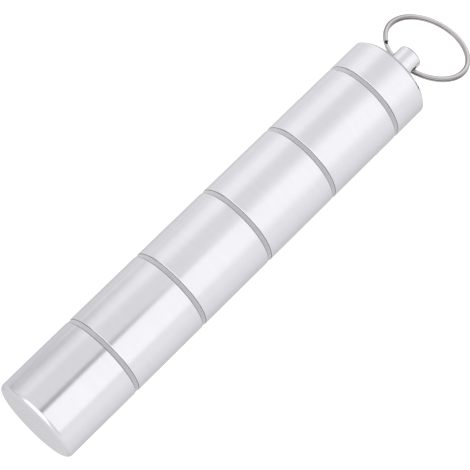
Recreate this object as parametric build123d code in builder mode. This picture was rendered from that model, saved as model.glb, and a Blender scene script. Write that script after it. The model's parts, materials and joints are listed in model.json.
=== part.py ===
from build123d import *
import os
from math import asin, atan2, cos, degrees, hypot, pi, sin

# Stackable pill tube on a key ring, lying on its side as it rests on a table.
# The tube's axis is the X axis, pointing from the base towards the cap. The
# origin is the centre of the base face, and the table is 10 mm below it.

# ---------------------------------------------------------------- dimensions
tube_r = 10.0            # outside radius of every compartment and of the cap
pitch_x = 19.67          # from one joint to the next along the tube
joint_1 = 20.10          # shoulder plane of the first joint
joint_gap = 1.10         # visible band between a mouth's rim and the shoulder
base_edge = 1.15         # rounding of the base's edge
shoulder_edge = 0.10     # chamfer under each upper piece
rim_edge = 0.10          # broken edge of each mouth
cap_h = 8.56             # cap, from its shoulder to its flat top
cap_edge = 0.70          # chamfer round the cap's top

cavity_r = 6.80          # inside radius of a compartment
base_floor = 1.60        # floor of the base compartment
spigot_floor = 1.20      # floor of the others, at the end of the spigot
floor_edge = 0.60        # chamfer between floor and wall
cap_hollow_h = 5.20      # hollow of the cap, above its shoulder

thread_pitch = 1.00      # right-hand thread, one millimetre a turn
spigot_l = 5.30          # male spigot below the shoulder
core_r = 7.90            # root radius of the male thread
male_crest_r = 8.45
neck_r = 8.40            # plain neck that the seal sits on
mouth_r = 8.60           # root radius of the female thread
female_crest_r = 8.05
mouth_l = 4.70           # depth of the threaded mouth
ridge_base = 0.62        # width of a thread ridge at its root
ridge_top = 0.20         # and at its crest
ridge_bury = 0.20        # how far a ridge is rooted in its wall

seal_in_r = 8.46
seal_out_r = 9.86
seal_play = 0.03         # each side, between the seal and the metal
seal_round = 0.12        # rounding of the seal's outer corners

knob_r = 2.80
knob_h = 6.90
knob_root = 0.25         # fillet where the knob leaves the cap
knob_edge = 0.50         # rounding of its end
hole_r = 1.20            # cross hole for the split ring
hole_h = 4.46            # its height above the cap's flat top
hole_z = -0.40           # it is drilled slightly below the knob's middle
hole_edge = 0.12         # broken edge at both ends of the hole

ring_mid_r = 9.63        # split ring, middle of its wire
wire_w = 1.06            # across the wire, in the plane of the ring
wire_t = 0.40            # thickness of one turn
wire_round = 0.15
turn_step = 0.43         # from the middle of one turn to that of the other
wire_dx = -0.26          # the wire's middle in the hole, from the hole's axis
wire_dz = -0.28
ring_dy = 0.20           # the ring hangs slightly to one side
upper_end = 138.5        # the upper turn ends at this angle round the ring
cross_start = 145.0      # between these two the wire changes layer
cross_end = 190.0
lower_end = 194.0        # the lower turn ends here, inside the hole

shoulders = [joint_1 + k * pitch_x for k in range(5)]
cap_x = shoulders[4] + cap_h
knob_x = cap_x + knob_h
hole_x = cap_x + hole_h

os.makedirs("parts", exist_ok=True)


# ------------------------------------------------------------ thread ridges
# Both ridges are drawn for a shoulder at x = 0. They are half a pitch apart,
# so that the male ridge runs in the middle of the female groove.
def ridge_section(path, centre, root_r, crest_r):
    """Plane across the start of a helix and the corners of the ridge on it."""
    start = path @ 0
    outward = (start - centre).normalized()
    across = Plane(origin=start, x_dir=outward, z_dir=path % 0)
    sign = 1 if crest_r > root_r else -1
    helix_r = (start - centre).length
    slope = (ridge_base - ridge_top) / 2 / abs(crest_r - root_r)
    foot = ridge_base / 2 + slope * ridge_bury
    low = root_r - sign * ridge_bury - helix_r
    high = crest_r - helix_r
    corners = [
        (low, -foot),
        (high, -ridge_top / 2),
        (high, ridge_top / 2),
        (low, foot),
    ]
    return across, corners


male_start = Vector(-4.60, 0, 0)
with BuildPart() as male_ridge:
    with BuildLine() as male_path:
        Helix(thread_pitch, 2.90, core_r, center=male_start, direction=(1, 0, 0))
    male_plane, male_corners = ridge_section(
        male_path.line, male_start, core_r, male_crest_r
    )
    with BuildSketch(male_plane):
        with BuildLine():
            Polyline(*male_corners, close=True)
        make_face()
    sweep(path=male_path.line, is_frenet=True)

female_start = Vector(-5.10, 0, 0)
with BuildPart() as female_ridge:
    with BuildLine() as female_path:
        Helix(thread_pitch, 3.45, mouth_r, center=female_start, direction=(1, 0, 0))
    female_plane, female_corners = ridge_section(
        female_path.line, female_start, mouth_r, female_crest_r
    )
    with BuildSketch(female_plane):
        with BuildLine():
            Polyline(*female_corners, close=True)
        make_face()
    sweep(path=female_path.line, is_frenet=True)


# ----------------------------------------------------------------- profiles
# Half sections in the XZ plane, as lists of (x, radius).
def spigot_profile(shoulder):
    """From the end of the male spigot out to the shoulder."""
    end = shoulder - spigot_l
    return [
        (end, core_r - 0.40),
        (end + 0.40, core_r),
        (shoulder - 1.05, core_r),
        (shoulder - 1.05, neck_r),
        (shoulder, neck_r),
        (shoulder, tube_r),
    ]


def mouth_profile(next_shoulder, floor):
    """From the outside of a mouth in to the middle of the floor."""
    rim = next_shoulder - joint_gap
    return [
        (rim, tube_r),
        (rim, mouth_r + 0.15),
        (rim - 0.15, mouth_r),
        (rim - mouth_l, mouth_r),
        (rim - mouth_l, cavity_r + 0.20),
        (rim - mouth_l - 0.20, cavity_r),
        (floor + floor_edge, cavity_r),
        (floor, cavity_r - floor_edge),
        (floor, 0),
    ]


def edges_at(part, x, radius):
    """The round edges of a turned piece in the plane x, at this radius."""
    rounds = part.edges().filter_by(GeomType.CIRCLE)
    here = rounds.filter_by_position(Axis.X, x - 0.01, x + 0.01)
    return [e for e in here if abs(e.radius - radius) < 0.01]


# ------------------------------------------------------------- compartments
with BuildPart() as cup_1:
    with BuildSketch(Plane.XZ):
        with BuildLine():
            Polyline(
                (0, 0), (0, tube_r), *mouth_profile(shoulders[0], base_floor),
                close=True,
            )
        make_face()
    revolve(axis=Axis.X)
    fillet(edges_at(cup_1.part, 0, tube_r), base_edge)
    chamfer(edges_at(cup_1.part, shoulders[0] - joint_gap, tube_r), rim_edge)
    with Locations((shoulders[0], 0, 0)):
        add(female_ridge.part)

with BuildPart() as cup_2:
    with BuildSketch(Plane.XZ):
        with BuildLine():
            Polyline(
                (shoulders[0] - spigot_l, 0),
                *spigot_profile(shoulders[0]),
                *mouth_profile(shoulders[1], shoulders[0] - spigot_l + spigot_floor),
                close=True,
            )
        make_face()
    revolve(axis=Axis.X)
    chamfer(edges_at(cup_2.part, shoulders[0], tube_r), shoulder_edge)
    chamfer(edges_at(cup_2.part, shoulders[1] - joint_gap, tube_r), rim_edge)
    with Locations((shoulders[0], 0, 0)):
        add(male_ridge.part)
    with Locations((shoulders[1], 0, 0)):
        add(female_ridge.part)

with BuildPart() as cup_3:
    with BuildSketch(Plane.XZ):
        with BuildLine():
            Polyline(
                (shoulders[1] - spigot_l, 0),
                *spigot_profile(shoulders[1]),
                *mouth_profile(shoulders[2], shoulders[1] - spigot_l + spigot_floor),
                close=True,
            )
        make_face()
    revolve(axis=Axis.X)
    chamfer(edges_at(cup_3.part, shoulders[1], tube_r), shoulder_edge)
    chamfer(edges_at(cup_3.part, shoulders[2] - joint_gap, tube_r), rim_edge)
    with Locations((shoulders[1], 0, 0)):
        add(male_ridge.part)
    with Locations((shoulders[2], 0, 0)):
        add(female_ridge.part)

with BuildPart() as cup_4:
    with BuildSketch(Plane.XZ):
        with BuildLine():
            Polyline(
                (shoulders[2] - spigot_l, 0),
                *spigot_profile(shoulders[2]),
                *mouth_profile(shoulders[3], shoulders[2] - spigot_l + spigot_floor),
                close=True,
            )
        make_face()
    revolve(axis=Axis.X)
    chamfer(edges_at(cup_4.part, shoulders[2], tube_r), shoulder_edge)
    chamfer(edges_at(cup_4.part, shoulders[3] - joint_gap, tube_r), rim_edge)
    with Locations((shoulders[2], 0, 0)):
        add(male_ridge.part)
    with Locations((shoulders[3], 0, 0)):
        add(female_ridge.part)

with BuildPart() as cup_5:
    with BuildSketch(Plane.XZ):
        with BuildLine():
            Polyline(
                (shoulders[3] - spigot_l, 0),
                *spigot_profile(shoulders[3]),
                *mouth_profile(shoulders[4], shoulders[3] - spigot_l + spigot_floor),
                close=True,
            )
        make_face()
    revolve(axis=Axis.X)
    chamfer(edges_at(cup_5.part, shoulders[3], tube_r), shoulder_edge)
    chamfer(edges_at(cup_5.part, shoulders[4] - joint_gap, tube_r), rim_edge)
    with Locations((shoulders[3], 0, 0)):
        add(male_ridge.part)
    with Locations((shoulders[4], 0, 0)):
        add(female_ridge.part)

# ------------------------------------------------------------ cap with knob
cap_roof = shoulders[4] + cap_hollow_h


def hole_ends(piece):
    """The two edges where the cross hole breaks out of the knob's side."""
    found = []
    for edge in piece.edges():
        box = edge.bounding_box()
        middle = (box.min.X + box.max.X) / 2
        if abs(middle - hole_x) < 0.05 and abs(box.size.X - 2 * hole_r) < 0.05:
            found.append(edge)
    return found


with BuildPart() as cap:
    with BuildSketch(Plane.XZ):
        with BuildLine():
            Polyline(
                *spigot_profile(shoulders[4]),
                (cap_x, tube_r),
                (cap_x, knob_r),
                (knob_x, knob_r),
                (knob_x, 0),
                (cap_roof, 0),
                (cap_roof, cavity_r - floor_edge),
                (cap_roof - floor_edge, cavity_r),
                (shoulders[4] - spigot_l, cavity_r),
                close=True,
            )
        make_face()
    revolve(axis=Axis.X)
    chamfer(edges_at(cap.part, shoulders[4], tube_r), shoulder_edge)
    chamfer(edges_at(cap.part, cap_x, tube_r), cap_edge)
    fillet(edges_at(cap.part, cap_x, knob_r), knob_root)
    fillet(edges_at(cap.part, knob_x, knob_r), knob_edge)
    with Locations(Plane(origin=(hole_x, 0, hole_z), z_dir=(0, 1, 0))):
        Hole(hole_r)
    chamfer(hole_ends(cap.part), hole_edge)
    with Locations((shoulders[4], 0, 0)):
        add(male_ridge.part)

# -------------------------------------------------------------------- seals
seal_w = joint_gap - 2 * seal_play
seal_r = (seal_in_r + seal_out_r) / 2


def seal_corners(piece):
    """The two outer edges of a seal ring."""
    return piece.edges().filter_by(GeomType.CIRCLE).sort_by(SortBy.RADIUS)[-2:]


with BuildPart() as seal_1:
    with BuildSketch(Plane.XZ):
        with Locations((shoulders[0] - joint_gap / 2, seal_r)):
            Rectangle(seal_w, seal_out_r - seal_in_r)
    revolve(axis=Axis.X)
    fillet(seal_corners(seal_1.part), seal_round)

with BuildPart() as seal_2:
    with BuildSketch(Plane.XZ):
        with Locations((shoulders[1] - joint_gap / 2, seal_r)):
            Rectangle(seal_w, seal_out_r - seal_in_r)
    revolve(axis=Axis.X)
    fillet(seal_corners(seal_2.part), seal_round)

with BuildPart() as seal_3:
    with BuildSketch(Plane.XZ):
        with Locations((shoulders[2] - joint_gap / 2, seal_r)):
            Rectangle(seal_w, seal_out_r - seal_in_r)
    revolve(axis=Axis.X)
    fillet(seal_corners(seal_3.part), seal_round)

with BuildPart() as seal_4:
    with BuildSketch(Plane.XZ):
        with Locations((shoulders[3] - joint_gap / 2, seal_r)):
            Rectangle(seal_w, seal_out_r - seal_in_r)
    revolve(axis=Axis.X)
    fillet(seal_corners(seal_4.part), seal_round)

with BuildPart() as seal_5:
    with BuildSketch(Plane.XZ):
        with Locations((shoulders[4] - joint_gap / 2, seal_r)):
            Rectangle(seal_w, seal_out_r - seal_in_r)
    revolve(axis=Axis.X)
    fillet(seal_corners(seal_5.part), seal_round)

# --------------------------------------------------------------- split ring
# The ring leans from the hole down to the table. Its tilt follows from the
# far side of the wire touching the table, which is tube_r below the axis.
wire_h = (turn_step + wire_t) / 2
reach = 2 * ring_mid_r + wire_w / 2 - wire_round
rise = wire_h - wire_round
drop = tube_r + hole_z + wire_dz - wire_round
tilt = asin(drop / hypot(reach, rise)) - atan2(rise, reach)

in_hole = Vector(hole_x + wire_dx, ring_dy, hole_z + wire_dz)
ring_x = Vector(cos(tilt), 0, -sin(tilt))       # from the hole to the far side
ring_n = Vector(sin(tilt), 0, cos(tilt))        # upper side of the ring
ring_y = Vector(0, 1, 0)
ring_c = in_hole + ring_x * ring_mid_r
ring_axis = Axis(origin=ring_c, direction=ring_n)


def wire_plane(angle, height):
    """Plane across the wire at this angle round the ring, x outwards, y up."""
    a = angle * pi / 180
    out = ring_x * cos(a) + ring_y * sin(a)
    along = ring_y * cos(a) - ring_x * sin(a)
    here = ring_c + out * ring_mid_r + ring_n * height
    return Plane(origin=here, x_dir=out, z_dir=-along)


with BuildPart() as split_ring:
    # upper turn, from the end of the crossing round to the visible wire end
    with BuildSketch(wire_plane(upper_end, turn_step / 2)):
        RectangleRounded(wire_w, wire_t, wire_round)
    revolve(axis=ring_axis, revolution_arc=-(upper_end + 360 - cross_end))
    # lower turn, from the wire end inside the hole round to the crossing
    with BuildSketch(wire_plane(cross_start, -turn_step / 2)):
        RectangleRounded(wire_w, wire_t, wire_round)
    revolve(axis=ring_axis, revolution_arc=-(cross_start + 360 - lower_end))
    # crossing from the lower turn up to the upper one
    steps = 8
    for k in range(steps + 1):
        u = k / steps
        climb = u * u * (3 - 2 * u)
        with BuildSketch(
            wire_plane(
                cross_start + (cross_end - cross_start) * u,
                turn_step * (climb - 0.5),
            )
        ):
            RectangleRounded(wire_w, wire_t, wire_round)
    loft()

# ------------------------------------------------------------------- export
cup_1.part.label = "cup_1"
cup_2.part.label = "cup_2"
cup_3.part.label = "cup_3"
cup_4.part.label = "cup_4"
cup_5.part.label = "cup_5"
cap.part.label = "cap"
seal_1.part.label = "seal_1"
seal_2.part.label = "seal_2"
seal_3.part.label = "seal_3"
seal_4.part.label = "seal_4"
seal_5.part.label = "seal_5"
split_ring.part.label = "split_ring"

cup_1.part.color = Color(0.80, 0.80, 0.82)
cup_2.part.color = Color(0.80, 0.80, 0.82)
cup_3.part.color = Color(0.80, 0.80, 0.82)
cup_4.part.color = Color(0.80, 0.80, 0.82)
cup_5.part.color = Color(0.80, 0.80, 0.82)
cap.part.color = Color(0.80, 0.80, 0.82)
seal_1.part.color = Color(0.55, 0.55, 0.57)
seal_2.part.color = Color(0.55, 0.55, 0.57)
seal_3.part.color = Color(0.55, 0.55, 0.57)
seal_4.part.color = Color(0.55, 0.55, 0.57)
seal_5.part.color = Color(0.55, 0.55, 0.57)
split_ring.part.color = Color(0.65, 0.64, 0.63)

export_step(cup_1.part, "parts/cup_1.step")
export_step(cup_2.part, "parts/cup_2.step")
export_step(cup_3.part, "parts/cup_3.step")
export_step(cup_4.part, "parts/cup_4.step")
export_step(cup_5.part, "parts/cup_5.step")
export_step(cap.part, "parts/cap.step")
export_step(seal_1.part, "parts/seal_1.step")
export_step(seal_2.part, "parts/seal_2.step")
export_step(seal_3.part, "parts/seal_3.step")
export_step(seal_4.part, "parts/seal_4.step")
export_step(seal_5.part, "parts/seal_5.step")
export_step(split_ring.part, "parts/split_ring.step")

print("joints at", [round(s, 2) for s in shoulders], "cap top", round(cap_x, 2))
print("knob end", round(knob_x, 2), "hole", round(hole_x, 2))
print("ring tilt", round(degrees(tilt), 3), "centre", ring_c)
for piece in (cup_1, cup_2, cap, seal_1, split_ring):
    print(
        piece.part.label,
        "solids",
        len(piece.part.solids()),
        "volume",
        round(piece.part.volume, 2),
        "valid",
        piece.part.is_valid,
    )
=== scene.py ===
import json
import math

import bmesh
import bpy
from mathutils import Matrix, Vector

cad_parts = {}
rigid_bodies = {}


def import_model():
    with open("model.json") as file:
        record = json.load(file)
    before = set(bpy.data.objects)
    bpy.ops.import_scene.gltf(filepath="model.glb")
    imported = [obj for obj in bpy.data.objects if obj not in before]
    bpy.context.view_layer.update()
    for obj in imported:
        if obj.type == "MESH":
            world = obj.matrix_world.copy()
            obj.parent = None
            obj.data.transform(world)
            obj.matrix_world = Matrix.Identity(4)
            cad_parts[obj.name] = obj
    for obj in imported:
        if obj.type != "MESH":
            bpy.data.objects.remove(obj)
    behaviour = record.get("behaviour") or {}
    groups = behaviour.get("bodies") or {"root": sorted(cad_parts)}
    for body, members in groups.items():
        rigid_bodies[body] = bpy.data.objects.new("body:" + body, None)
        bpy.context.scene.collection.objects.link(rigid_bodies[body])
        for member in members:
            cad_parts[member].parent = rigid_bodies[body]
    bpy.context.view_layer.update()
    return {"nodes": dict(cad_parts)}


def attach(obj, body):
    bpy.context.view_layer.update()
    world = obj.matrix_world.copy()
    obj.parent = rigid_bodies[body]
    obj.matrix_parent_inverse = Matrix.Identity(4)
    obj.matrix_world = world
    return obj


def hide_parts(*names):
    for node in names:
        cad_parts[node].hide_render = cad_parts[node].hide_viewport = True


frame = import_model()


scene = bpy.context.scene
for old in list(bpy.data.objects):
    if old.type in ("CAMERA", "LIGHT"):
        bpy.data.objects.remove(old)

# ------------------------------------------------------------------ camera
right = Vector((0.68547, -0.72809, 0.0)).normalized()
back = Vector((-0.28600, -0.26925, 0.9196)).normalized()
up = back.cross(right).normalized()
right = up.cross(back).normalized()
place = Vector((-0.07464, -0.12581, 0.42501)) - right * 0.000103 + up * 0.000103
cam_data = bpy.data.cameras.new("camera")
cam_data.sensor_fit = "HORIZONTAL"
cam_data.sensor_width = 36.0
cam_data.lens = 170.36
cam_data.clip_start = 0.01
cam_data.clip_end = 50.0
cam = bpy.data.objects.new("camera", cam_data)
scene.collection.objects.link(cam)
cam.matrix_world = Matrix(
    (
        (right.x, up.x, back.x, place.x),
        (right.y, up.y, back.y, place.y),
        (right.z, up.z, back.z, place.z),
        (0, 0, 0, 1),
    )
)
scene.camera = cam
scene.view_settings.view_transform = "Standard"
scene.view_settings.look = "None"


# ------------------------------------------------------------- node helper
class Nodes:
    """Short way to write a node tree as expressions."""

    def __init__(self, tree):
        self.tree = tree
        self.nodes = tree.nodes
        self.links = tree.links

    def put(self, value, socket):
        if isinstance(value, bpy.types.NodeSocket):
            self.links.new(value, socket)
        else:
            socket.default_value = value

    def new(self, kind, **settings):
        node = self.nodes.new(kind)
        for key, value in settings.items():
            setattr(node, key, value)
        return node

    def math(self, op, a, b=None, c=None, clamp=False):
        node = self.new("ShaderNodeMath", operation=op, use_clamp=clamp)
        for k, value in enumerate((a, b, c)):
            if value is not None:
                self.put(value, node.inputs[k])
        return node.outputs[0]

    def add(self, a, b):
        return self.math("ADD", a, b)

    def sub(self, a, b):
        return self.math("SUBTRACT", a, b)

    def mul(self, a, b):
        return self.math("MULTIPLY", a, b)

    def smooth(self, value, lo, hi, out_lo=0.0, out_hi=1.0):
        node = self.new("ShaderNodeMapRange", interpolation_type="SMOOTHSTEP")
        self.put(value, node.inputs["Value"])
        self.put(lo, node.inputs["From Min"])
        self.put(hi, node.inputs["From Max"])
        self.put(out_lo, node.inputs["To Min"])
        self.put(out_hi, node.inputs["To Max"])
        return node.outputs["Result"]

    def band(self, value, lo, hi, soft):
        """1 between lo and hi, fading over soft on each side."""
        rise = self.smooth(value, lo - soft, lo + soft)
        fall = self.smooth(value, hi - soft, hi + soft, 1.0, 0.0)
        return self.mul(rise, fall)

    def mix(self, factor, a, b):
        node = self.new("ShaderNodeMix", data_type="FLOAT")
        self.put(factor, node.inputs[0])
        self.put(a, node.inputs[2])
        self.put(b, node.inputs[3])
        return node.outputs[0]

    def mix_colour(self, factor, a, b, blend="MIX"):
        node = self.new("ShaderNodeMix", data_type="RGBA", blend_type=blend)
        self.put(factor, node.inputs[0])
        self.put(a, node.inputs[6])
        self.put(b, node.inputs[7])
        return node.outputs[2]

    def xyz(self, vector):
        node = self.new("ShaderNodeSeparateXYZ")
        self.links.new(vector, node.inputs[0])
        return node.outputs

    def vector(self, x, y, z):
        node = self.new("ShaderNodeCombineXYZ")
        self.put(x, node.inputs[0])
        self.put(y, node.inputs[1])
        self.put(z, node.inputs[2])
        return node.outputs[0]

    def noise(self, vector, scale, detail=2.0, rough=0.5, distort=0.0):
        node = self.new("ShaderNodeTexNoise")
        self.links.new(vector, node.inputs["Vector"])
        node.inputs["Scale"].default_value = scale
        node.inputs["Detail"].default_value = detail
        node.inputs["Roughness"].default_value = rough
        node.inputs["Distortion"].default_value = distort
        return node.outputs["Fac"]


def rgb(r, g, b):
    return (r, g, b, 1.0)


# --------------------------------------------------- studio: world of cards
# Long soft boxes run along the tube. An angle of 0 is straight above, 90 is
# the side that the camera stands on, -90 is the far side.
world = bpy.data.worlds.new("studio")
scene.world = world
world.use_nodes = True
world.node_tree.nodes.clear()
w = Nodes(world.node_tree)
look = w.xyz(w.new("ShaderNodeTexCoord").outputs["Generated"])
dx, dy, dz = look[0], look[1], look[2]
angle = w.mul(w.math("ARCTAN2", w.mul(dy, -1.0), dz), 180.0 / math.pi)
far_end = w.smooth(dx, 0.19, 0.30)

crisp = w.add(1.20, w.mul(w.band(angle, 13.5, 74.5, 1.5), 0.45))
crisp = w.add(crisp, w.mul(w.band(angle, 75.5, 178.0, 1.5), 0.14))
crisp = w.add(crisp, w.mul(w.band(angle, -58.0, -44.0, 7.0), 0.14))
crisp = w.add(crisp, w.mul(w.band(angle, -178.0, -72.0, 8.0), -0.22))

late = w.sub(angle, w.smooth(dx, 0.345, 0.380, 0.0, 4.0))
soft = w.add(1.24, w.mul(w.band(late, 10.0, 78.0, 19.0), 0.40))
soft = w.add(soft, w.mul(w.band(angle, 84.0, 178.0, 12.0), 0.12))
soft = w.add(soft, w.mul(w.band(angle, -77.0, -37.0, 12.0), 0.28))
soft = w.add(soft, w.mul(w.band(angle, -178.0, -80.0, 10.0), 0.10))

level = w.mix(far_end, crisp, soft)
gap = w.mul(w.smooth(angle, 0.0, 7.0), w.smooth(angle, 13.0, 15.0, 1.0, 0.0))  # dark gap beside the main box
level = w.add(level, w.mul(w.mul(gap, w.smooth(dx, 0.20, 0.255, 1.0, 0.0)), -0.64))
level = w.mix(w.smooth(dx, -0.20, -0.36), level, 1.17)      # quiet wall past the base
lamp = w.smooth(dx, -0.34, -0.54)
level = w.mix(w.mul(lamp, w.band(dy, -0.45, 0.56, 0.12)), level, 2.0)
level = w.mix(w.mul(w.smooth(dx, 0.43, 0.52), w.band(angle, 5.0, 80.0, 12.0)), level, 1.85)
level = w.mix(w.smooth(dx, 0.60, 0.78), level, 0.40)        # dark room past the cap
level = w.mix(w.smooth(dx, 0.84, 0.90), level, 0.84)        # and its pale end wall
shine = w.new("ShaderNodeBackground")
w.put(rgb(1.0, 1.0, 1.0), shine.inputs["Color"])
w.put(level, shine.inputs["Strength"])
sky = w.new("ShaderNodeOutputWorld")
w.links.new(shine.outputs[0], sky.inputs["Surface"])


# ------------------------------------------------------------------- stage
def new_mesh(name, bm):
    mesh = bpy.data.meshes.new(name)
    bm.to_mesh(mesh)
    bm.free()
    obj = bpy.data.objects.new(name, mesh)
    scene.collection.objects.link(obj)
    return obj


bm = bmesh.new()
bmesh.ops.create_circle(bm, cap_ends=True, segments=96, radius=6.0)
bmesh.ops.translate(bm, verts=bm.verts, vec=(0.06, 0, -0.0100))
floor = new_mesh("floor", bm)

mat = bpy.data.materials.new("pale_floor")
mat.use_nodes = True
mat.node_tree.nodes.clear()
n = Nodes(mat.node_tree)
where = n.xyz(n.new("ShaderNodeTexCoord").outputs["Object"])
# The floor glows by itself, and unevenly: brighter on the near (-y) side; on the far side brighter toward +x,
# darker toward the base and brighter in a strip at y 0.022 to 0.052. This is painted light and painted shadow
# on the floor.
near_side = n.smooth(where[1], 0.04, -0.10)
beside = n.add(0.98, n.mul(near_side, 0.17))
beside = n.add(beside, n.mul(n.mul(n.smooth(where[0], 0.02, 0.10), 0.12), n.smooth(where[1], -0.02, 0.05)))
beside = n.add(beside, n.mul(n.mul(n.smooth(where[0], 0.06, 0.01), -0.15), n.smooth(where[1], 0.010, 0.05)))
beside = n.add(beside, n.mul(n.band(where[1], 0.022, 0.052, 0.008), 0.13))
glow = n.new("ShaderNodeEmission")
n.put(rgb(1.0, 1.0, 1.0), glow.inputs["Color"])
n.put(beside, glow.inputs["Strength"])
paper = n.new("ShaderNodeBsdfDiffuse")
n.put(rgb(0.16, 0.16, 0.16), paper.inputs["Color"])
both = n.new("ShaderNodeAddShader")
n.links.new(glow.outputs[0], both.inputs[0])
n.links.new(paper.outputs[0], both.inputs[1])
out = n.new("ShaderNodeOutputMaterial")
n.links.new(both.outputs[0], out.inputs["Surface"])
floor.data.materials.append(mat)

bm = bmesh.new()
bmesh.ops.create_uvsphere(bm, u_segments=64, v_segments=32, radius=5.5)
dome = new_mesh("backdrop", bm)
dome.visible_diffuse = False
dome.visible_glossy = False
dome.visible_transmission = False
dome.visible_volume_scatter = False
dome.visible_shadow = False
mat = bpy.data.materials.new("pale_backdrop")
mat.use_nodes = True
mat.node_tree.nodes.clear()
n = Nodes(mat.node_tree)
glow = n.new("ShaderNodeEmission")
n.put(rgb(1.0, 1.0, 1.0), glow.inputs["Color"])
n.put(1.0, glow.inputs["Strength"])
out = n.new("ShaderNodeOutputMaterial")
n.links.new(glow.outputs[0], out.inputs["Surface"])
dome.data.materials.append(mat)


# a duller stretch of ground far off on the left, seen only in the tube
bm = bmesh.new()
bmesh.ops.create_grid(bm, x_segments=1, y_segments=1, size=0.5)
bmesh.ops.scale(bm, verts=bm.verts, vec=(4.0, 3.93, 1.0))
bmesh.ops.translate(bm, verts=bm.verts, vec=(0.0, 2.035, -0.0097))
ground = new_mesh("far_ground", bm)
ground.visible_camera = False
ground.visible_diffuse = False
ground.visible_shadow = False
mat = bpy.data.materials.new("far_ground")
mat.use_nodes = True
mat.node_tree.nodes.clear()
n = Nodes(mat.node_tree)
where = n.xyz(n.new("ShaderNodeTexCoord").outputs["Object"])
level = n.add(1.17, n.mul(n.smooth(where[0], 0.02, 0.10), 0.12))
level = n.add(level, n.mul(n.smooth(where[0], 0.06, 0.01), -0.15))
slant = n.math("DIVIDE", where[0], n.math("MAXIMUM", where[1], 0.05))
far_left = n.mul(n.smooth(where[1], 0.07, 0.20), n.smooth(slant, 0.32, 0.18))
level = n.add(level, n.mul(far_left, -0.26))
glow = n.new("ShaderNodeEmission")
n.put(rgb(1.0, 1.0, 1.0), glow.inputs["Color"])
n.put(level, glow.inputs["Strength"])
out = n.new("ShaderNodeOutputMaterial")
n.links.new(glow.outputs[0], out.inputs["Surface"])
ground.data.materials.append(mat)

# a grey card low beyond the cap, which only the cap's chamfer mirrors
bm = bmesh.new()
bmesh.ops.create_grid(bm, x_segments=1, y_segments=1, size=0.5)
bmesh.ops.scale(bm, verts=bm.verts, vec=(0.060, 0.070, 1.0))
bmesh.ops.translate(bm, verts=bm.verts, vec=(0.161, 0.006, -0.0098))
card = new_mesh("grey_card", bm)
card.visible_camera = False
card.visible_diffuse = False
card.visible_shadow = False
mat = bpy.data.materials.new("grey_card")
mat.use_nodes = True
mat.node_tree.nodes.clear()
n = Nodes(mat.node_tree)
where = n.xyz(n.new("ShaderNodeTexCoord").outputs["Object"])
beyond = n.smooth(where[0], 0.131, 0.142)
glow = n.new("ShaderNodeEmission")
n.put(rgb(1.0, 1.0, 1.0), glow.inputs["Color"])
n.put(n.mix(beyond, 1.28, 0.98), glow.inputs["Strength"])
out = n.new("ShaderNodeOutputMaterial")
n.links.new(glow.outputs[0], out.inputs["Surface"])
card.data.materials.append(mat)


# --------------------------------------------------------------- materials
def fresh(name):
    mat = bpy.data.materials.new(name)
    mat.use_nodes = True
    mat.node_tree.nodes.clear()
    n = Nodes(mat.node_tree)
    shader = n.new("ShaderNodeBsdfPrincipled")
    out = n.new("ShaderNodeOutputMaterial")
    n.links.new(shader.outputs[0], out.inputs["Surface"])
    return mat, n, shader


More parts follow.
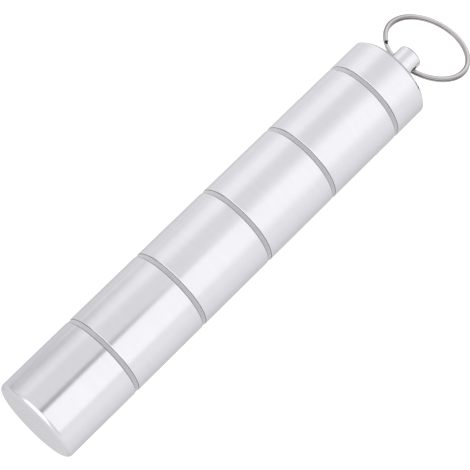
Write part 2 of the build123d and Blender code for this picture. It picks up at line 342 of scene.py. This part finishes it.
def turned_aluminium(name, edges):
    """Satin aluminium off the lathe. edges is not used."""
    mat, n, shader = fresh(name)
    place = n.new("ShaderNodeTexCoord").outputs["Object"]
    x, y, z = n.xyz(place)
    radius = n.math("SQRT", n.add(n.mul(y, y), n.mul(z, z)))
    round_angle = n.math("ARCTAN2", y, z)
    # feed lines of the tool: fine along the tube, long round it
    feed = n.vector(n.mul(x, 9000.0), n.mul(round_angle, 1.3), n.mul(radius, 9000.0))
    lines = n.noise(feed, 1.0, 3.0, 0.6)
    coarse = n.noise(n.vector(n.mul(x, 900.0), n.mul(round_angle, 0.8), n.mul(radius, 900.0)), 1.0, 2.0, 0.5)
    cloud = n.noise(place, 90.0, 3.0, 0.55)
    # lengthwise polishing smears, very faint
    smear = n.noise(n.vector(n.mul(x, 18.0), n.mul(y, 420.0), n.mul(z, 420.0)), 1.0, 2.0, 0.5)
    shade = n.add(n.mul(lines, 0.30), n.add(n.mul(coarse, 0.25), n.add(n.mul(cloud, 0.30), n.mul(smear, 0.15))))
    colour = n.mix_colour(n.smooth(shade, 0.30, 0.70), rgb(0.540, 0.534, 0.560), rgb(0.572, 0.565, 0.588))
    # the base is a facing cut: paler, with no blue in it, and finely grained
    grain = n.noise(place, 6500.0, 2.0, 0.6)
    rings = n.noise(n.vector(n.mul(radius, 7000.0), n.mul(round_angle, 1.0), 0.0), 1.0, 2.0, 0.6)
    facing = n.mix_colour(n.add(n.mul(grain, 0.5), n.mul(rings, 0.5)), rgb(0.610, 0.606, 0.618), rgb(0.670, 0.666, 0.678))
    colour = n.mix_colour(n.smooth(x, 0.00008, 0.00002), colour, facing)
    # inside of the cross hole: drilled, rougher and less metallic; its near (-y) side painted pale as painted
    # light, its far (+y) side painted near black as painted shade
    hx = n.sub(x, 0.11180)
    hz = n.add(z, 0.00040)
    bore = n.math("SQRT", n.add(n.mul(hx, hx), n.mul(hz, hz)))
    drilled = n.mul(n.smooth(bore, 0.00142, 0.00136), n.mul(n.smooth(x, 0.1090, 0.1092), n.smooth(n.math("ABSOLUTE", y), 0.00300, 0.00290)))
    side = n.smooth(y, -0.0004, 0.0014)
    marks = n.noise(n.vector(n.mul(y, 5200.0), n.mul(bore, 900.0), n.mul(hx, 900.0)), 1.0, 2.0, 0.6)
    near = n.mix_colour(marks, rgb(0.62, 0.62, 0.62), rgb(0.80, 0.80, 0.80))
    far = n.mix_colour(marks, rgb(0.06, 0.06, 0.065), rgb(0.16, 0.16, 0.17))
    hole = n.mix_colour(side, near, far)
    colour = n.mix_colour(drilled, colour, hole)
    n.put(colour, shader.inputs["Base Color"])
    n.put(n.sub(1.0, n.mul(drilled, 0.45)), shader.inputs["Metallic"])
    rough = n.add(0.15, n.mul(n.sub(lines, 0.5), 0.06))
    rough = n.add(rough, n.mul(n.sub(cloud, 0.5), 0.06))
    rough = n.add(rough, n.mul(drilled, 0.35))
    rough = n.add(rough, n.mul(n.smooth(x, 0.00008, 0.00002), 0.12))
    n.put(rough, shader.inputs["Roughness"])
    shader.inputs["Anisotropic"].default_value = 0.35
    shader.inputs["Specular Tint"].default_value = rgb(0.66, 0.66, 0.68)
    tangent = n.new("ShaderNodeTangent", direction_type="RADIAL", axis="X")
    n.links.new(tangent.outputs[0], shader.inputs["Tangent"])
    bump = n.new("ShaderNodeBump")
    bump.inputs["Strength"].default_value = 0.05
    bump.inputs["Distance"].default_value = 0.00002
    n.put(lines, bump.inputs["Height"])
    n.links.new(bump.outputs[0], shader.inputs["Normal"])
    return mat


def silicone(name):
    mat, n, shader = fresh(name)
    place = n.new("ShaderNodeTexCoord").outputs["Object"]
    x, y, z = n.xyz(place)
    grain = n.noise(place, 9000.0, 2.0, 0.6)
    cloud = n.noise(place, 500.0, 3.0, 0.5)
    colour = n.mix_colour(n.add(n.mul(grain, 0.5), n.mul(cloud, 0.5)), rgb(0.312, 0.312, 0.328), rgb(0.377, 0.377, 0.395))
    # the far (+y) side is painted a little paler, with a noisy edge: painted light
    far_side_painted_light = n.smooth(n.add(y, n.mul(n.sub(cloud, 0.5), 0.002)), -0.001, 0.007, 0.0, 0.17)
    colour = n.mix_colour(far_side_painted_light, colour, rgb(0.78, 0.78, 0.80))
    n.put(colour, shader.inputs["Base Color"])
    n.put(n.add(0.50, n.mul(grain, 0.16)), shader.inputs["Roughness"])
    shader.inputs["IOR"].default_value = 1.41
    bump = n.new("ShaderNodeBump")
    bump.inputs["Strength"].default_value = 0.15
    bump.inputs["Distance"].default_value = 0.00003
    n.put(grain, bump.inputs["Height"])
    n.links.new(bump.outputs[0], shader.inputs["Normal"])
    return mat


def ring_steel(name):
    """Drawn spring steel: lengthwise die lines and sheared ends, with a painted highlight along the middle and
    painted shade on the edges, on some stretches and at the upper end.
    """
    mat, n, shader = fresh(name)
    place = n.new("ShaderNodeTexCoord").outputs["Object"]
    rel = n.new("ShaderNodeVectorMath", operation="SUBTRACT")
    n.links.new(place, rel.inputs[0])
    rel.inputs[1].default_value = tuple(RING_C)

    def along(axis):
        dot = n.new("ShaderNodeVectorMath", operation="DOT_PRODUCT")
        n.links.new(rel.outputs[0], dot.inputs[0])
        dot.inputs[1].default_value = tuple(axis)
        return dot.outputs["Value"]

    u, v, lift = along(RING_X), along(RING_Y), along(RING_N)
    radius = n.math("SQRT", n.add(n.mul(u, u), n.mul(v, v)))
    turn = n.math("ARCTAN2", v, u)
    die = n.noise(n.vector(n.mul(radius, 9000.0), n.mul(lift, 9000.0), n.mul(turn, 1.5)), 1.0, 2.0, 0.6)
    cloud = n.noise(place, 260.0, 3.0, 0.55)
    grain = n.noise(place, 5200.0, 2.0, 0.6)
    streak = n.noise(n.vector(n.mul(radius, 1900.0), n.mul(lift, 1900.0), n.mul(turn, 1.6)), 1.0, 1.0, 0.5)
    tone = n.add(n.mul(cloud, 0.30), n.add(n.mul(die, 0.08), n.add(n.mul(streak, 0.52), n.mul(grain, 0.10))))
    colour = n.mix_colour(n.smooth(tone, 0.34, 0.66), rgb(0.625, 0.604, 0.606), rgb(0.752, 0.729, 0.731))
    # stretches of the wire painted darker: painted shade
    stretch_painted_shade = n.add(n.mul(n.band(turn, 0.95, 1.75, 0.25), 0.40), n.mul(n.band(turn, -2.60, -1.25, 0.30), 0.24))
    stretch_painted_shade = n.add(stretch_painted_shade, n.mul(n.band(turn, 1.70, 2.40, 0.15), 0.13))
    colour = n.mix_colour(stretch_painted_shade, colour, rgb(0.12, 0.112, 0.110))
    # painted highlight along its middle and painted shade on the rounding on both sides, the shade a little
    # weaker on one stretch
    across = n.math("ABSOLUTE", n.sub(radius, RING_R))
    colour = n.mix_colour(n.mul(n.smooth(across, 0.00034, 0.00002), 0.60), colour, rgb(0.95, 0.93, 0.93))
    edge_painted_shade = n.sub(0.80, n.mul(n.band(turn, -0.45, 0.60, 0.25), 0.20))
    colour = n.mix_colour(n.mul(n.smooth(across, 0.00020, 0.00053), edge_painted_shade), colour, rgb(0.245, 0.233, 0.231))
    # sheared end of the upper turn: rougher and less metallic, and painted near black as painted shadow on the
    # end and the turn under it
    end = n.new("ShaderNodeVectorMath", operation="DISTANCE")
    n.links.new(place, end.inputs[0])
    end.inputs[1].default_value = tuple(wire_point(-1.3, 0.0, -0.00012))
    cut = n.smooth(end.outputs["Value"], 0.00058, 0.00034)
    colour = n.mix_colour(cut, colour, rgb(0.055, 0.050, 0.048))
    n.put(colour, shader.inputs["Base Color"])
    n.put(n.sub(1.0, n.mul(cut, 0.5)), shader.inputs["Metallic"])
    n.put(n.add(n.add(0.13, n.mul(grain, 0.10)), n.mul(cut, 0.4)), shader.inputs["Roughness"])
    shader.inputs["Specular Tint"].default_value = rgb(0.45, 0.44, 0.43)
    bump = n.new("ShaderNodeBump")
    bump.inputs["Strength"].default_value = 0.06
    bump.inputs["Distance"].default_value = 0.00002
    n.put(n.add(n.mul(die, 0.5), n.mul(grain, 0.5)), bump.inputs["Height"])
    n.links.new(bump.outputs[0], shader.inputs["Normal"])
    return mat


def give(node, material):
    obj = frame["nodes"][node]
    for k in range(len(obj.material_slots)):
        obj.material_slots[k].material = material
    if not obj.material_slots:
        obj.data.materials.append(material)


# -------------------------------------------------------------- split ring
# The same two turns and crossing as in the CAD, swept in fine steps with a
# softer section, so that the wire shades smoothly and its ends look cut.
RING_R = 0.00963
WIRE_W, WIRE_T, TURN_STEP = 0.00111, 0.00043, 0.00045
IN_HOLE = Vector((0.11154, 0.00026, -0.00068))
rise = (TURN_STEP + WIRE_T) / 2 - 0.00014
reach = 2 * RING_R + WIRE_W / 2 - 0.00014
drop = 0.010 + IN_HOLE.z - 0.00014
TILT = math.asin(drop / math.hypot(reach, rise)) - math.atan2(rise, reach)
RING_X = Vector((math.cos(TILT), 0.0, -math.sin(TILT)))
RING_Y = Vector((0.0, 1.0, 0.0))
RING_N = Vector((math.sin(TILT), 0.0, math.cos(TILT)))
RING_C = IN_HOLE + RING_X * RING_R


def wire_section(shrink):
    """Slightly crowned flat section, as (outwards, up) pairs."""
    hw, ht = WIRE_W / 2 - shrink, WIRE_T / 2 - shrink
    ring = []
    for k in range(28):
        a = 2 * math.pi * k / 28
        c, s = math.cos(a), math.sin(a)
        ring.append((hw * math.copysign(abs(c) ** 0.72, c), ht * math.copysign(abs(s) ** 0.72, s)))
    return ring


def wire_height(turned):
    """Height of the wire's middle after so many degrees from its upper end."""
    if turned < 308.5:
        return TURN_STEP / 2
    if turned > 353.5:
        return -TURN_STEP / 2
    u = (353.5 - turned) / 45.0
    return TURN_STEP * (u * u * (3 - 2 * u) - 0.5)


def ease(value, lo, hi):
    u = min(1.0, max(0.0, (value - lo) / (hi - lo)))
    return u * u * (3 - 2 * u)


def wire_shift(turned):
    """The two turns don't lie exactly on each other."""
    upper = ease(turned, 8.0, 50.0) - ease(turned, 290.0, 312.0)
    lower = ease(turned, 375.0, 420.0) - ease(turned, 630.0, 660.0)
    return RING_Y * (0.00002 * upper - 0.00006 * lower)


def wire_taper(turned):
    """The wire is a little narrower where it was cut, and under the cut."""
    return 0.87 + 0.13 * (ease(turned, 2.0, 30.0) - ease(turned, 345.0, 360.0) + ease(turned, 368.0, 395.0))


def wire_point(turned, out, lift):
    a = math.radians(138.5 - turned)
    radial = RING_X * math.cos(a) + RING_Y * math.sin(a)
    return RING_C + wire_shift(turned) + radial * (RING_R + out * wire_taper(turned)) + RING_N * (wire_height(turned) + lift)


def build_ring():
    stations = [(0.0, 0.00006), (0.12, 0.00002), (0.35, 0.0)]
    stations += [(0.35 + 1.25 * k, 0.0) for k in range(1, 531)]
    stations += [(664.15, 0.0), (664.38, 0.00002), (664.5, 0.00006)]
    bm = bmesh.new()
    rows = []
    for turned, shrink in stations:
        rows.append([bm.verts.new(wire_point(turned, o, h)) for o, h in wire_section(shrink)])
    size = len(rows[0])
    for one, two in zip(rows, rows[1:]):
        for k in range(size):
            bm.faces.new((one[k], two[k], two[(k + 1) % size], one[(k + 1) % size]))
    bm.faces.new(rows[0])
    bm.faces.new(list(reversed(rows[-1])))
    bmesh.ops.recalc_face_normals(bm, faces=bm.faces)
    for face in bm.faces:
        face.smooth = len(face.verts) == 4
    return new_mesh("split_ring_wire", bm)


aluminium = turned_aluminium("turned_aluminium", [])
rubber = silicone("seal_silicone")
steel = ring_steel("ring_steel")
for name in ("cup_1", "cup_2", "cup_3", "cup_4", "cup_5", "cap"):
    give(name, aluminium)
for k in range(1, 6):
    give(f"seal_{k}", rubber)
ring = build_ring()
ring.data.materials.append(steel)
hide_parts("split_ring")
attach(ring, "split_ring")
